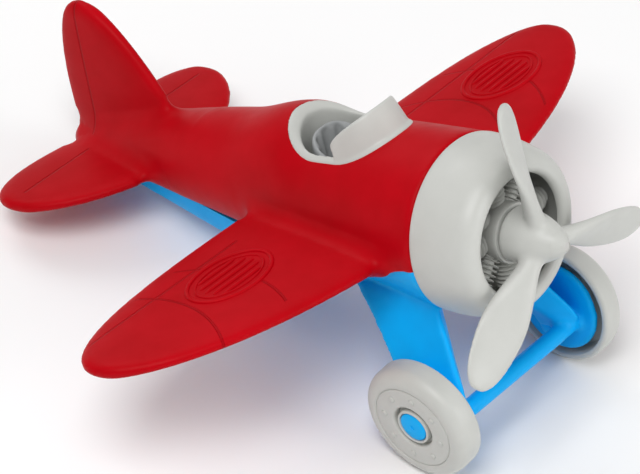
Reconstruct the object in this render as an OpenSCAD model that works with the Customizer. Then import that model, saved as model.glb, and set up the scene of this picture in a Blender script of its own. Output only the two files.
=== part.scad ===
// Toy airplane: a low-wing radial-engined tail-sitter for a small child, all in moulded plastic.
// The sub-parts are drawn level: thrust line along Y through the origin, nose towards -Y, wings along X.
// stand() then sits the whole airplane on its two wheels and its heel, nose up, on the plane z = 0.

/* [Stance] */
// Nose-up angle of the standing airplane, degrees
pitch = 18; // [17.5:0.1:18.5]
// Distance from the cowl's rear face back to the middle of the airplane's length
origin_y = 78.85; // [70:0.01:90]

/* [Fuselage] */
// Radius of the fuselage where it meets the cowl
nose_r = 32.6; // [32:0.1:33.4]
// Length of the fuselage behind the cowl
body_len = 200; // [196:1:204]
// Wall of the red shell and the blue belly
wall = 2.6; // [2:0.1:3]
// How far the tail droops below the thrust line
tail_droop = 8; // [6:0.5:9]
// Height of the headrest hump over the fuselage
hump_h = 5.4; // [3:0.1:6]

/* [Wings] */
// Wing span, tip to tip
span = 264.8; // [258:0.4:268]
// Half of the wing chord at the middle
wing_half_chord = 38.4; // [37:0.1:39]
// Wing thickness at the root
wing_t = 7.8; // [7:0.1:8.2]
// Rise of the wing tips
dihedral = 2.7; // [1:0.1:4]
// Tailplane span, tip to tip
tail_span = 115.4; // [110:0.2:120]
// Half of the tailplane chord at the middle
tail_half_chord = 27.4; // [26:0.1:28]
// Height of the fin over its root line
fin_h = 62.3; // [58:0.1:66]

/* [Engine] */
// Largest radius of the cowl
cowl_r = 32.9; // [32.7:0.1:33.4]
// Radius of the cowl's mouth
mouth_r = 22; // [21:0.1:23]
// Length of the cowl
cowl_len = 25.2; // [24:0.1:25.6]
// Distance of each engine cylinder's seat from the thrust line
seat_r = 12.5; // [12:0.1:12.8]
// Radius of the cooling fins
fin_r = 5; // [4.6:0.1:5]

/* [Propeller] */
// Radius to the blade tips
prop_r = 58; // [54:0.1:59]
// Half of the widest blade chord
blade_half = 9.2; // [8:0.1:9.6]
// Distance of the blade plane ahead of the cowl's rear face
prop_y = 33; // [32.5:0.1:33.5]
// Radius of the propeller shaft
shaft_r = 1.6; // [1.4:0.1:1.8]
// Radial clearance of every running fit
run_gap = 0.06; // [0.03:0.01:0.08]

/* [Undercarriage] */
// Outer radius of a wheel
tyre_r = 22.9; // [22:0.1:23.4]
// Width of a wheel
tyre_w = 11.2; // [10.6:0.1:11.4]
// Distance of a wheel's outer face from the middle plane
track_half = 48.4; // [47.5:0.1:49]
// Height of the axle below the thrust line
axle_drop = 59.5; // [58.5:0.1:60.5]
// Inward lean of the axles, degrees
camber = 4; // [3:0.5:5]
// Radius of the axle pin's shank
pin_r = 4; // [3.6:0.1:4.2]

/* [Hidden] */

$fn = 96;
red = "#bb0a20";
blue = "#12a2ee";
grey = "#d0cfca";
steel = "#b9bbbd";

axle_y = 0.4;            // fore and aft place of the axles
disc_r = 17.7;           // dust disc moulded on each leg
disc_out = 9.2;          // disc's outer face, behind the wheel's outer face
disc_in = 11.9;          // disc's inner face, likewise
tread_half = 2.5;        // half of the flat part of the tread
tread_mid = 6.5;         // middle of the tread, behind the wheel's outer face
bar_r = 3.4;             // spreader bar between the legs
bar_y = -8;
bar_z = -62;
foot_y0 = 186;           // heel under the tail
foot_y1 = 200;
foot_half = 6;
nose_front = 21.9;       // spinner's base, ahead of the cowl's rear face
case_front = 21.4;       // crankcase's front face, likewise
plate_t = 2.2;           // crankcase's back plate
cylinder_y = 13.2;       // plane of the engine cylinders, likewise
rim_half = 18;           // cockpit opening
rim_mid = 44;            // where the opening is widest
rim_front = 19.5;        // its reach ahead of and behind that line
rim_back = 31.5;
rim_w = 3.2;             // width of the frame round the opening
tub_floor = 4;

// Height of the thrust line over the ground, from the lowest point of the tread.
lean = cos(pitch) * sin(camber);
tread_z = -axle_drop + tread_mid * sin(camber);
stand_h = -(tread_z * cos(pitch) - axle_y * sin(pitch))
          + tyre_r * sqrt(1 - lean * lean) + tread_half * lean;

module stand() translate([0, -origin_y, stand_h]) rotate([-pitch, 0, 0]) children();

// ---- shapes shared by several sub-parts

// Radius and centre height of the round fuselage at a distance y behind the cowl.
function body_r(y) = nose_r - 0.066 * y - 0.00031 * y * y;
function body_z(y) = y < 90 ? 0 : -tail_droop * pow((y - 90) / 110, 1.5);
// Extra height of the headrest hump, a smooth bump behind the cockpit.
function hump(y) = hump_h * pow(max(0, cos(min(90, abs(y - 73.5) * (y < 73.5 ? 5 : 2.6)))), 2);
// Top of the fuselage at a distance x from the middle plane.
function skin_z(x, y) = body_z(y) + sqrt(max(1, body_r(y) * body_r(y) - x * x))
                        * (1 + hump(y) / body_r(y));

// Side outline of the joint between the red shell and the blue belly.
seam = [[-1, -2.8], [5, -3.7], [10, -5.3], [14, -7.3], [17, -9.15], [91, -9.15], [100, -17.5], [109, -18], [152, -12.6],
        [176, -11], [230, -10.8]];

// Closed ring of a superellipse, half width a, half height b.
function oval(a, b, n, count) = [for (i = [0:count - 1]) let (t = 360 * i / count)
    [a * sign(cos(t)) * pow(abs(cos(t)), 2 / n), b * sign(sin(t)) * pow(abs(sin(t)), 2 / n)]];

// A thin slice across Y, drawn in x and z.
module slice_y(y) translate([0, y, 0]) rotate([90, 0, 0]) linear_extrude(0.1, center = true) children();

// A thin slice across X, drawn in y and z.
module slice_x(x) translate([x, 0, 0]) rotate([90, 0, 90]) linear_extrude(0.1, center = true) children();

// The round fuselage, let in by inset.
module tube_slice(y, inset) slice_y(y) translate([0, body_z(y)])
    polygon([for (p = oval(body_r(y) - inset, body_r(y) - inset, 2, 72))
        [p[0], p[1] * (p[1] > 0 ? 1 + hump(y) / body_r(y) : 1)]]);

module fuselage(inset, y0, y1, steps) for (i = [0:steps - 1]) hull() {
    tube_slice(y0 + (y1 - y0) * i / steps, inset);
    tube_slice(y0 + (y1 - y0) * (i + 1) / steps, inset);
}

// Rounded leaf-shaped surface: half of a wing, tailplane or fin, sliced along its span.
// kind = [half span, mid line y, its sweep, its curve, half chord, taper, tip power, thickness, z, rise]
wing = [span / 2, 48.2, 9.1, 5.4, wing_half_chord, -0.14, 3, wing_t, -4.2, dihedral];
tail = [tail_span / 2, 169.3, 14.1, 2, tail_half_chord, 0.06, 2.39, 6.8, -6.3, 0.6];
fin = [fin_h, 168.4, 13.3, 2.7, 33.5, -0.31, 2.54, 8.4, 0, 0];

function leaf_mid(k, s) = k[1] + k[2] * s + k[3] * s * s;
function leaf_half(k, s) = k[4] * (1 + k[5] * s) * sqrt(max(0, 1 - pow(s, k[6])));

module leaf_slice(k, s, inset, cut) slice_x(k[0] * s - (s == 1 ? inset : 0))
    translate([leaf_mid(k, s), k[8] + k[9] * s * s])
        let (c = max(0.8, leaf_half(k, s) - inset), t = k[7] * (1 - 0.22 * s * s) / 2 * min(1, leaf_half(k, s) / 12 + 0.2) - inset)
            if (cut) polygon([[-c, -30], [c, -30], [c, t - 2], [c - 2.5, t], [2.5 - c, t], [-c, t - 2]]);
            else polygon(oval(c, t, 2.7, 40));

module leaf(k, inset = 0, cut = false, s0 = 0, s1 = 1, steps = 9) for (i = [0:steps - 1]) hull() {
    leaf_slice(k, s0 + (s1 - s0) * sin(90 * i / steps), inset, cut);
    leaf_slice(k, s0 + (s1 - s0) * sin(90 * (i + 1) / steps), inset, cut);
}

module both_sides() for (side = [0, 1]) mirror([side, 0, 0]) children();

// Everything above the joint line, and what lies below it between the wings.
module above_seam() rotate([90, 0, 90]) linear_extrude(90, center = true)
    polygon(concat(seam, [[230, 90], [-1, 90]]));

module below_seam() rotate([90, 0, 90]) linear_extrude(67.2, center = true)
    polygon(concat(seam, [[230, -60], [-1, -60]]));

// ---- red shell

module wing_ribs() for (x = [36, 60, 84, 106]) translate([x - 0.8, -5, -14]) cube([1.6, 120, 16]);

module body_shell() color(red) stand() union() {
    difference() {
        union() {
            fuselage(0, 0.05, body_len, 20);
            both_sides() {
                leaf(wing);
                leaf(tail);
            }
            translate([0, 0, -6.9]) rotate([0, -90, 0]) leaf(fin);
            translate([0, body_len - 1.6, -tail_droop]) sphere(6.5, $fn = 32);
        }
        below_seam();
        intersection() {
            fuselage(wall, -1, 186, 14);
            translate([-40, -2, -9.2]) cube([80, 190, 60]);
        }
        translate([-22, -1, -30]) cube([44, 92, 24]);
        translate([-11, 80, -30]) cube([22, 92, 26]);
        both_sides() leaf(wing, wall, true, 0.2, 0.97);
        translate([0, 0, tub_floor - 3]) linear_extrude(60) cockpit_outline(0.6);
    }
    intersection() {
        both_sides() leaf(wing, 0.5);
        both_sides() wing_ribs();
    }
}

// ---- blue belly, legs, dust discs, spreader bar and heel

// Cross-section of the belly: straight sides that lean in to a flat keel with round corners.
module belly_slice(y, half, depth, corner) slice_y(y) polygon(concat([[half, 0]],
    [for (s = [1, -1], a = [0:15:75]) let (b = s > 0 ? a : 75 - a)
        [s * (half * 0.8 - corner + corner * cos(b)), corner - depth - corner * sin(b)]], [[-half, 0]]));

module belly_form(inset) {
    hull() {
        slice_y(inset > 0 ? -1 : 0.05) circle(nose_r - inset, $fn = 64);
        belly_slice(106, 17 - inset, 32.4 - inset, 5);
    }
    hull() {
        belly_slice(106, 17 - inset, 32.4 - inset, 5);
        belly_slice(186, 8 - inset, 16.6 - inset, 3);
    }
}

// Closed solid through rings of points, each ring with the same count, drawn clockwise from outside.
function loft_faces(rings, count) = concat(
    [[for (j = [0:count - 1]) count - 1 - j]],
    [for (i = [0:rings - 2], j = [0:count - 1], half = [0, 1])
        let (a = i * count + j, b = i * count + (j + 1) % count, c = b + count, d = a + count)
            half == 0 ? [a, b, c] : [a, c, d]],
    [[for (j = [0:count - 1]) (rings - 1) * count + j]]);

// Leg: a wedge, sharp in front and behind, with a flat facet on its inner side.
// Each row is a level: z, front edge, inner facet's two ends, rear edge, middle of the outer face.
leg_levels = [[-66, [36.5, -7], [29, -4], [29, 3], [36.5, 7], [36.8, 0]],
              [-57, [33.2, -13.6], [26, -6], [26, 3], [36.6, 12], [36.8, 0]],
              [-45, [28.8, -7.8], [18.5, 2.4], [20, 11], [35, 19], [33.4, 7]],
              [-38.5, [26.3, -4.3], [14.4, 7], [16, 18], [32, 24.7], [29.8, 10]],
              [-31, [23.6, -0.4], [10.4, 12], [11, 29], [27, 34.5], [25.8, 17]],
              [-24, [21.2, 3], [9.5, 15], [9.5, 38], [20.6, 46], [21.4, 24]]];
leg_points = [for (level = leg_levels, i = [1:5]) [level[i][0], level[i][1], level[0]]];

module leg() polyhedron(leg_points, loft_faces(len(leg_levels), 5));

// Frame of a wheel: +Z along its axle, outwards, with the origin on its outer face.
module at_wheel() translate([track_half, axle_y, -axle_drop]) rotate([0, 90 + camber, 0]) children();

module belly_chassis() color(blue) stand() difference() {
    union() {
        difference() {
            belly_form(0);
            belly_form(wall);
        }
        both_sides() {
            leg();
            at_wheel() translate([0, 0, -disc_in]) cylinder(h = disc_in - disc_out, r = disc_r);
        }
        translate([0, bar_y, bar_z]) rotate([0, 90, 0]) cylinder(h = 2 * 36.6, r = bar_r, center = true);
        heel();
    }
    above_seam();
    both_sides() at_wheel() translate([0, 0, -18]) cylinder(h = 18, r = pin_r);
    heel_trim();
}

// The heel reaches from the belly's tail end down to the ground.
module heel() rotate([90, 0, 90]) linear_extrude(2 * foot_half, center = true)
    polygon([[172, -9], [foot_y1 - 1, -9], [foot_y1, -25], [foot_y0, -25]]);

// The ground under the heel.
module heel_trim() rotate([pitch, 0, 0]) translate([-50, 0, -stand_h - 60])
    cube([100, 300, 60]);

// ---- cowl and engine

module engine_cowl() color(grey) stand() rotate([90, 0, 0]) rotate_extrude() polygon(concat(
    [for (a = [0:10:90]) [mouth_r + 2.6 - 2.6 * cos(a), cowl_len - 2.6 + 2.6 * sin(a)]],
    [[27.2, cowl_len - 0.6], [29.2, cowl_len - 2.4], [31, cowl_len - 6], [32.2, 14], [cowl_r, 8], [32.8, 3],
     [nose_r + 0.1, 0], [nose_r - 2, 0], [nose_r - 2, plate_t], [30, 4], [30, 14], [28, 18.5], [24, 21.4],
     [mouth_r + 0.3, 22.2]]));

module engine_crankcase() color(grey) stand() rotate([90, 0, 0]) difference() {
    union() {
        cylinder(h = plate_t, r = nose_r - 2);
        rotate([0, 0, 22.5]) cylinder(h = 18.6, r = seat_r / cos(22.5), $fn = 8);
        translate([0, 0, 18.6]) cylinder(h = case_front - 18.6, r1 = 12.4, r2 = 11);
    }
    translate([0, 0, -1]) cylinder(h = 40, r = shaft_r + run_gap);
    for (i = [0:7]) rotate([0, 0, 45 * i]) translate([seat_r - 2.5, 0, cylinder_y]) rotate([0, 90, 0])
        cylinder(h = 5, r = 2.6);
}

// One engine cylinder: spigot, foot flange, five cooling fins and a domed head.
module engine_cylinder(i) color(grey) stand() rotate([90, 0, 0]) rotate([0, 0, 45 * (i - 1)])
    translate([seat_r, 0, cylinder_y]) rotate([0, 90, 0]) {
        translate([0, 0, -2.4]) cylinder(h = 3, r = 2.6);
        cylinder(h = 11.6, r = 3.9);
        cylinder(h = 1, r = 4.9);
        for (k = [1:5]) translate([0, 0, 1 + 1.7 * k]) cylinder(h = 0.8, r = k < 2 ? 4.5 : fin_r);
        translate([0, 0, 11.4]) cylinder(h = 1.4, r1 = 3.9, r2 = 2.4);
    }

module engine_cylinder_1() engine_cylinder(1);
module engine_cylinder_2() engine_cylinder(2);
module engine_cylinder_3() engine_cylinder(3);
module engine_cylinder_4() engine_cylinder(4);
module engine_cylinder_5() engine_cylinder(5);
module engine_cylinder_6() engine_cylinder(6);
module engine_cylinder_7() engine_cylinder(7);
module engine_cylinder_8() engine_cylinder(8);

// ---- propeller, its shaft and the retainer behind the crankcase

blade_n = 16;            // points round a blade's section
blade_rings = 14;

// Section of a blade at a fraction u of its length, twisted from coarse at the root to fine at the tip.
function blade_ring(u) = let (
    r = 5 + (prop_r - 5.4) * sin(90 * u),
    k = (r - 5) / (prop_r - 5),
    w = blade_half * (0.42 + 0.58 * pow(sin(min(1, k / 0.62) * 90), 2)) * sqrt(max(0.003, 1 - pow(k, 7))),
    t = 1.25 + 2.6 * pow(1 - k, 1.6),
    twist = 44 * pow(k, 0.7) - 62)
    [for (j = [0:blade_n - 1]) let (a = 360 * j / blade_n, p = w * cos(a), q = t * sin(a))
        [p * cos(twist) - q * sin(twist), r, p * sin(twist) + q * cos(twist)]];

blade_points = [for (i = [0:blade_rings]) each blade_ring(i / blade_rings)];
module propeller() color(grey) stand() rotate([90, 0, 0]) difference() {
    union() {
        rotate_extrude() polygon(concat([[0, nose_front], [10.3, nose_front]],
            [for (a = [0:10:80]) [2 + 8.3 * pow(cos(a), 1.2), nose_front + 1 + 21.3 * sin(a)]],
            [[2.2, 44.4], [1.9, 44.7], [0, 44.7]]));
        for (a = [97, 217, 337]) rotate([0, 0, a]) translate([0, 0, prop_y]) rotate([0, 0, -90])
            polyhedron(blade_points, loft_faces(blade_rings + 1, blade_n));
    }
    translate([0, 0, 10]) cylinder(h = 40, r = shaft_r);
}

module propeller_shaft() color(steel) stand() rotate([90, 0, 0]) translate([0, 0, -5])
    cylinder(h = 49.4, r = shaft_r);

module shaft_retainer() color(steel) stand() rotate([90, 0, 0]) translate([0, 0, -2.3]) difference() {
    cylinder(h = 2, r = 5);
    translate([0, 0, -1]) cylinder(h = 4, r = shaft_r);
}

// ---- cockpit

// Outline of the cockpit opening, round in front and square-shouldered behind, let in by inset.
function rim_point(a, inset) = cos(a) > 0
    ? [(rim_half - inset) * sin(a), rim_mid - (rim_front - inset) * cos(a)]
    : [(rim_half - inset) * sign(sin(a)) * pow(abs(sin(a)), 4 / 3),
       rim_mid + (rim_back - inset) * pow(-cos(a), 4 / 9)];

module cockpit_outline(inset) polygon([for (a = [0:7.5:352.5]) rim_point(a, inset)]);

// Place on the frame's centre line, at its height over the fuselage.
function rim_at(a) = let (p = rim_point(a, rim_w / 2)) [p[0], p[1], skin_z(p[0], p[1]) - 0.7];

// Top edge of the windscreen, from one side of the opening round its front to the other.
function glass_at(a) = [13.6 * sin(a), 48 - 15 * pow(cos(a), 0.8), 26.5 + 14 * pow(cos(a), 0.55)];

module cockpit_frame() color(grey) stand() {
    intersection() {
        translate([0, 0, tub_floor]) linear_extrude(40) difference() {
            cockpit_outline(1);
            cockpit_outline(rim_w);
        }
        fuselage(1, 20, 84, 12);
    }
    for (a = [0:12:348]) hull() {
        translate(rim_at(a)) sphere(rim_w / 2, $fn = 12);
        translate(rim_at(a + 12)) sphere(rim_w / 2, $fn = 12);
    }
    for (a = [-90:15:75]) hull() for (b = [a, a + 15]) {
        translate(rim_at(b)) sphere(1.1, $fn = 8);
        translate(glass_at(b)) sphere(1.1, $fn = 8);
    }
}

// Floor of the cockpit with the pilot's ribbed bucket seat on it.
module seat_block() translate([0, 0, tub_floor - 2]) linear_extrude(2) cockpit_outline(1);

module pilot_seat() color(grey) stand() {
    seat_block();
    translate([0, 0, tub_floor]) difference() {
        intersection() {
            translate([0, 52, 0]) cylinder(h = 20.4, r1 = 12.8, r2 = 11.6);
            linear_extrude(22) cockpit_outline(rim_w + 0.3);
        }
        translate([0, 50, 5]) cylinder(h = 20, r1 = 9, r2 = 9.6);
        translate([-20, 30, 5]) cube([40, 14, 20]);
    }
}

// ---- wheels and their pins

module wheel() stand() at_wheel() difference() {
    union() {
        rotate_extrude() polygon(concat(
            [[pin_r + run_gap, -9.05], [7, -9.05], [7.6, -4.6], [9.6, -4.2], [10.6, -2.6], [19.4, -2.8],
             [20.2, -4.4], [20.6, -tyre_w]],
            [for (a = [-90:15:0]) [tyre_r - 1.4 + 1.4 * cos(a), 1.4 - tyre_w + 1.4 * sin(a)]],
            [for (a = [0:10:90]) [tyre_r - 4.4 + 4.4 * cos(a), -4 + 4 * sin(a)]],
            [[17, 0], [16.6, -0.5], [16.2, -0.05], [9.4, -0.05], [8.4, -0.9], [8.4, -3.4], [7, -3.4],
             [7, -0.3], [6.8, -0.05], [6, -0.05], [6, -3], [pin_r + run_gap, -3]]));
        for (i = [0:7]) rotate([0, 0, 45 * i + 14]) translate([12.7, 0, -1]) cylinder(h = 1.35, r = 0.9);
    }
}

module axle_pin() stand() at_wheel() {
    translate([0, 0, -18]) cylinder(h = 15.2, r = pin_r);
    translate([0, 0, -2.9]) cylinder(h = 2.4, r = 5.7);
    translate([0, 0, -0.5]) cylinder(h = 0.3, r1 = 5.7, r2 = 5.4);
}

module wheel_left() color(grey) wheel();
module wheel_right() color(grey) mirror([1, 0, 0]) wheel();
module axle_pin_left() color(blue) axle_pin();
module axle_pin_right() color(blue) mirror([1, 0, 0]) axle_pin();

body_shell();
belly_chassis();
engine_cowl();
engine_crankcase();
engine_cylinder_1();
engine_cylinder_2();
engine_cylinder_3();
engine_cylinder_4();
engine_cylinder_5();
engine_cylinder_6();
engine_cylinder_7();
engine_cylinder_8();
propeller();
propeller_shaft();
shaft_retainer();
cockpit_frame();
pilot_seat();
wheel_right();
wheel_left();
axle_pin_right();
axle_pin_left();
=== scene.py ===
import bpy
import bmesh
from math import sin, cos, acos, pi, radians, sqrt, hypot, copysign
from mathutils import Matrix, Vector


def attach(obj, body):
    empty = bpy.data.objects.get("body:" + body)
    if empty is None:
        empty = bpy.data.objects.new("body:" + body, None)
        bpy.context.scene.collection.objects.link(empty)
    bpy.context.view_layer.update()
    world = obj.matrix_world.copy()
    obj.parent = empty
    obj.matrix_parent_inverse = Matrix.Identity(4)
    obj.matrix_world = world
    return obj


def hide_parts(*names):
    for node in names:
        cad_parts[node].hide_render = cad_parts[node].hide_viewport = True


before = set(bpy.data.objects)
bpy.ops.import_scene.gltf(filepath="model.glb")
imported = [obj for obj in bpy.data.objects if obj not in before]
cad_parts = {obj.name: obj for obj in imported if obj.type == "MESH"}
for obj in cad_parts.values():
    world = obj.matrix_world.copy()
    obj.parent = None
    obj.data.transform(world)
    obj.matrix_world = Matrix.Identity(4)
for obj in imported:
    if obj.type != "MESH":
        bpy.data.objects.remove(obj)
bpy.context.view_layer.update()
scene = bpy.context.scene
print("frame loaded")

# The pieces are drawn level in millimetres, nose towards -Y and thrust line on the origin,
# then stood on their wheels.
stance = {"noseUp": 18, "middle": 78.85, "height": 79.296}
standUp = (Matrix.Translation((0, -stance["middle"] / 1000, stance["height"] / 1000))
           @ Matrix.Rotation(radians(-stance["noseUp"]), 4, "X") @ Matrix.Scale(0.001, 4))


# Small tools for meshes.
def ring(bm, points):                         # a closed loop of edges through the points
    made = bmesh.ops.create_circle(bm, segments=len(points), radius=1)
    for vert, point in zip(made["verts"], points):
        vert.co = point
    return list({edge for vert in made["verts"] for edge in vert.link_edges})


def loft(bm, rings, endless=False):           # skin through a row of loops, capped unless it closes on itself
    loops = [ring(bm, points) for points in rings]
    pairs = list(zip(loops, loops[1:]))
    if endless:
        pairs.append((loops[-1], loops[0]))
    for first, second in pairs:
        bmesh.ops.bridge_loops(bm, edges=first + second)
    if not endless:
        for end in (loops[0], loops[-1]):
            bmesh.ops.edgeloop_fill(bm, edges=end)


def turned(bm, profile, steps=96, place=Matrix.Identity(4)):   # (radius, height) profile spun round Z
    verts = [bm.verts.new((radius, 0, height)) for radius, height in profile]
    edges = [bm.edges.new((a, b)) for a, b in zip(verts, verts[1:])]
    if profile[0][0] > 0.001 and profile[-1][0] > 0.001:
        edges.append(bm.edges.new((verts[-1], verts[0])))
    made = bmesh.ops.spin(bm, geom=verts + edges, cent=(0, 0, 0), axis=(0, 0, 1), angle=2 * pi,
                          steps=steps, use_merge=True)
    mine = {vert for vert in made["geom_last"] if isinstance(vert, bmesh.types.BMVert)} | set(verts)
    todo = list(mine)
    while todo:                               # everything joined to the profile is part of this spin
        for edge in todo.pop().link_edges:
            for vert in edge.verts:
                if vert not in mine:
                    mine.add(vert)
                    todo.append(vert)
    bmesh.ops.transform(bm, matrix=place, verts=list(mine))
    bmesh.ops.remove_doubles(bm, verts=list(mine), dist=0.0005)


def ball(bm, centre, size, u=32, v=20):       # ellipsoid
    place = Matrix.Translation(centre) @ Matrix.Diagonal((*size, 1))
    bmesh.ops.create_uvsphere(bm, u_segments=u, v_segments=v, radius=1, matrix=place)


def block(bm, low, high):
    centre = [(a + b) / 2 for a, b in zip(low, high)]
    place = Matrix.Translation(centre) @ Matrix.Diagonal((*[b - a for a, b in zip(low, high)], 1))
    bmesh.ops.create_cube(bm, size=1, matrix=place)


def extruded(bm, outline, away):              # flat outline pushed along a direction
    edges = ring(bm, outline)
    face = bmesh.ops.edgeloop_fill(bm, edges=edges)["faces"]
    made = bmesh.ops.extrude_face_region(bm, geom=face)["geom"]
    bmesh.ops.translate(bm, vec=away, verts=[v for v in made if isinstance(v, bmesh.types.BMVert)])


def solid(name, bm):                          # mesh object from a bmesh, still level and in millimetres
    bmesh.ops.remove_doubles(bm, verts=bm.verts, dist=0.0002)
    bmesh.ops.recalc_face_normals(bm, faces=bm.faces)
    mesh = bpy.data.meshes.new(name)
    bm.to_mesh(mesh)
    bm.free()
    made = bpy.data.objects.new(name, mesh)
    scene.collection.objects.link(made)
    return made


def applyChanges(piece):                      # its modifiers become its mesh
    fresh = bpy.data.meshes.new_from_object(piece.evaluated_get(bpy.context.evaluated_depsgraph_get()))
    piece.modifiers.clear()
    piece.data = fresh


def fuse(piece, voxel):                       # overlapping lumps become one skin
    change = piece.modifiers.new("fuse", "REMESH")
    change.mode = "VOXEL"
    change.voxel_size = voxel
    change.use_smooth_shade = True
    applyChanges(piece)


def carve(piece, tool, how="DIFFERENCE"):
    change = piece.modifiers.new("carve", "BOOLEAN")
    change.operation = how
    change.object = tool
    change.solver = "MANIFOLD"
    applyChanges(piece)
    bpy.data.objects.remove(tool)


def soften(piece, times, where=None):         # rounds edges and fills hollow corners
    bm = bmesh.new()
    bm.from_mesh(piece.data)
    verts = [vert for vert in bm.verts if where is None or where(vert.co)]
    for _ in range(times):
        bmesh.ops.smooth_vert(bm, verts=verts, factor=0.5, use_axis_x=True, use_axis_y=True, use_axis_z=True)
    bm.to_mesh(piece.data)
    bm.free()


def finishPiece(piece, material, bodyName, slotName, *stoodFor, sharp=38):
    bm = bmesh.new()
    bm.from_mesh(piece.data)
    bmesh.ops.remove_doubles(bm, verts=bm.verts, dist=0.0005)
    bmesh.ops.dissolve_degenerate(bm, edges=bm.edges, dist=0.0005)
    bm.to_mesh(piece.data)
    bm.free()
    piece.data.transform(standUp)
    piece.data.shade_smooth()
    piece.data.set_sharp_from_angle(angle=radians(sharp))
    piece.data.materials.clear()
    piece.data.materials.append(material)
    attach(piece, bodyName)
    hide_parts(*stoodFor)
    print(piece.name, "done,", len(piece.data.polygons), "faces")


def swell(value, power):                      # power of a signed value, sign kept
    return copysign(abs(value) ** power, value)


def oval(a, b, power, count):                 # superellipse, half sizes a and b
    turns = [2 * pi * i / count for i in range(count)]
    return [(swell(cos(t), 2 / power) * a, swell(sin(t), 2 / power) * b) for t in turns]


# Shader groups and materials.
def newGroup(name, inputs, outputs):
    tree = bpy.data.node_groups.new(name, "ShaderNodeTree")
    for label, kind, value in inputs:
        socket = tree.interface.new_socket(label, in_out="INPUT", socket_type=kind)
        if value is not None:
            socket.default_value = value
    for label, kind in outputs:
        tree.interface.new_socket(label, in_out="OUTPUT", socket_type=kind)
    return tree, tree.nodes.new("NodeGroupInput"), tree.nodes.new("NodeGroupOutput")


def calc(tree, how, *values):                 # one Math node; a value is a number or a socket
    node = tree.nodes.new("ShaderNodeMath")
    node.operation = how
    for socket, value in zip(node.inputs, values):
        if isinstance(value, (int, float)):
            socket.default_value = value
        else:
            tree.links.new(value, socket)
    return node.outputs[0]


def band(tree, value, half, soft):            # 1 where value is within half of 0, with a soft edge
    node = tree.nodes.new("ShaderNodeMapRange")
    node.interpolation_type = "SMOOTHSTEP"
    node.inputs["From Min"].default_value = half + soft
    node.inputs["From Max"].default_value = half
    tree.links.new(calc(tree, "ABSOLUTE", value), node.inputs["Value"])
    return node.outputs[0]


# Moulded skin: fine grain, broad flow marks and a scatter of tiny pits, from Object coordinates.
grainGroup, gin, gout = newGroup("mouldedSkin",
    [("Base", "NodeSocketColor", (0.8, 0.8, 0.8, 1)), ("Deep", "NodeSocketColor", (0.7, 0.7, 0.7, 1)),
     ("Roughness", "NodeSocketFloat", 0.4), ("Grain", "NodeSocketFloat", 2400),
     ("Strength", "NodeSocketFloat", 0.12), ("Relief", "NodeSocketFloat", 0)],
    [("Color", "NodeSocketColor"), ("Roughness", "NodeSocketFloat"), ("Normal", "NodeSocketVector")])
place = grainGroup.nodes.new("ShaderNodeTexCoord").outputs["Object"]


def noise(tree, scale, detail, rough=0.5):
    node = tree.nodes.new("ShaderNodeTexNoise")
    if isinstance(scale, (int, float)):
        node.inputs["Scale"].default_value = scale
    else:
        tree.links.new(scale, node.inputs["Scale"])
    node.inputs["Detail"].default_value = detail
    node.inputs["Roughness"].default_value = rough
    return node


flow = noise(grainGroup, 26, 3)
cloud = noise(grainGroup, 140, 4)
fine = noise(grainGroup, gin.outputs["Grain"], 2, 0.6)
for node in (flow, cloud, fine):
    grainGroup.links.new(place, node.inputs["Vector"])
mottle = calc(grainGroup, "ADD", calc(grainGroup, "MULTIPLY", flow.outputs[0], 0.65),
              calc(grainGroup, "MULTIPLY", cloud.outputs[0], 0.35))
blend = grainGroup.nodes.new("ShaderNodeMix")
blend.data_type = "RGBA"
spread = grainGroup.nodes.new("ShaderNodeMapRange")
spread.inputs["From Min"].default_value = 0.35
spread.inputs["From Max"].default_value = 0.65
grainGroup.links.new(mottle, spread.inputs["Value"])
grainGroup.links.new(spread.outputs[0], blend.inputs[0])
grainGroup.links.new(gin.outputs["Base"], blend.inputs[6])
grainGroup.links.new(gin.outputs["Deep"], blend.inputs[7])
paintedGrooveShade = grainGroup.nodes.new("ShaderNodeMix")             # painted shade darkens the grooves a little
paintedGrooveShade.data_type = "RGBA"
paintedGrooveShade.blend_type = "MULTIPLY"
paintedGrooveShade.inputs[7].default_value = (0.55, 0.5, 0.5, 1)
# painted shade: the colour is multiplied darker where the panel-line mask lies
grainGroup.links.new(calc(grainGroup, "MULTIPLY", gin.outputs["Relief"], 0.35), paintedGrooveShade.inputs[0])
grainGroup.links.new(blend.outputs[2], paintedGrooveShade.inputs[6])
grainGroup.links.new(paintedGrooveShade.outputs[2], gout.inputs["Color"])
shine = calc(grainGroup, "ADD", gin.outputs["Roughness"],
             calc(grainGroup, "MULTIPLY", calc(grainGroup, "SUBTRACT", cloud.outputs[0], 0.5), 0.16))
grainGroup.links.new(shine, gout.inputs["Roughness"])
grain = grainGroup.nodes.new("ShaderNodeBump")
grain.inputs["Distance"].default_value = 0.00006
grainGroup.links.new(gin.outputs["Strength"], grain.inputs["Strength"])
grainGroup.links.new(fine.outputs[0], grain.inputs["Height"])
groove = grainGroup.nodes.new("ShaderNodeBump")
groove.invert = True
groove.inputs["Distance"].default_value = 0.0005
groove.inputs["Strength"].default_value = 0.9
grainGroup.links.new(gin.outputs["Relief"], groove.inputs["Height"])
grainGroup.links.new(grain.outputs[0], groove.inputs["Normal"])
grainGroup.links.new(groove.outputs[0], gout.inputs["Normal"])

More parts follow.
